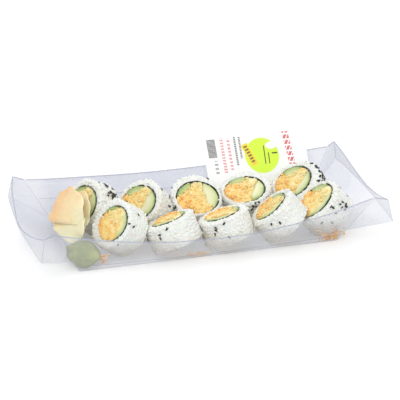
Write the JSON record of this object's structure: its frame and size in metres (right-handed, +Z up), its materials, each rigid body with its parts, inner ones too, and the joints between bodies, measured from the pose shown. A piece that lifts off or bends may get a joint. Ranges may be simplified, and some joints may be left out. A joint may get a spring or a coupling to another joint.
{
  "type": "takeaway sushi tray",
  "caption": "Clear folded plastic takeaway tray of inside-out sushi rolls in two rows, with pickled ginger, wasabi and a printed label card behind.",
  "frame": {"origin": "centre of the underside of the tray base, on the surface it rests on", "axes": "+X along the tray, from the ginger end to the other end; +Y from the front wall to the back wall; +Z up"},
  "size_m": [0.276, 0.1403, 0.0551],
  "materials": {
    "clear_sheet": "clear, glossy",
    "card": "smooth printed card",
    "rice": "moist cooked rice",
    "nori": "dark seaweed",
    "orange_mix": "moist shredded filling",
    "avocado": "soft, slightly glossy",
    "green": "moist green vegetable",
    "ginger": "moist pickled slice",
    "wasabi": "soft paste"
  },
  "bodies": {
    "root": {"tray": "clear_sheet", "label_card": "card", "back_roll_1_rice": "rice", "back_roll_1_nori": "nori", "back_roll_1_mix": "orange_mix", "back_roll_1_avocado": "avocado", "back_roll_1_green": "green", "back_roll_2_rice": "rice", "back_roll_2_nori": "nori", "back_roll_2_mix": "orange_mix", "back_roll_2_avocado": "avocado", "back_roll_2_green": "green", "back_roll_3_rice": "rice", "back_roll_3_nori": "nori", "back_roll_3_mix": "orange_mix", "back_roll_3_avocado": "avocado", "back_roll_3_green": "green", "back_roll_4_rice": "rice", "back_roll_4_nori": "nori", "back_roll_4_mix": "orange_mix", "back_roll_4_avocado": "avocado", "back_roll_4_green": "green", "back_roll_5_rice": "rice", "back_roll_5_nori": "nori", "back_roll_5_mix": "orange_mix", "back_roll_5_avocado": "avocado", "back_roll_5_green": "green", "front_roll_1_rice": "rice", "front_roll_1_nori": "nori", "front_roll_1_mix": "orange_mix", "front_roll_1_avocado": "avocado", "front_roll_1_green": "green", "front_roll_2_rice": "rice", "front_roll_2_nori": "nori", "front_roll_2_mix": "orange_mix", "front_roll_2_avocado": "avocado", "front_roll_2_green": "green", "front_roll_3_rice": "rice", "front_roll_3_nori": "nori", "front_roll_3_mix": "orange_mix", "front_roll_3_avocado": "avocado", "front_roll_3_green": "green", "front_roll_4_rice": "rice", "front_roll_4_nori": "nori", "front_roll_4_mix": "orange_mix", "front_roll_4_avocado": "avocado", "front_roll_4_green": "green", "front_roll_5_rice": "rice", "front_roll_5_nori": "nori", "front_roll_5_mix": "orange_mix", "front_roll_5_avocado": "avocado", "front_roll_5_green": "green", "ginger_slice_1": "ginger", "ginger_slice_2": "ginger", "ginger_slice_3": "ginger", "wasabi": "wasabi"}
  },
  "joints": []
}
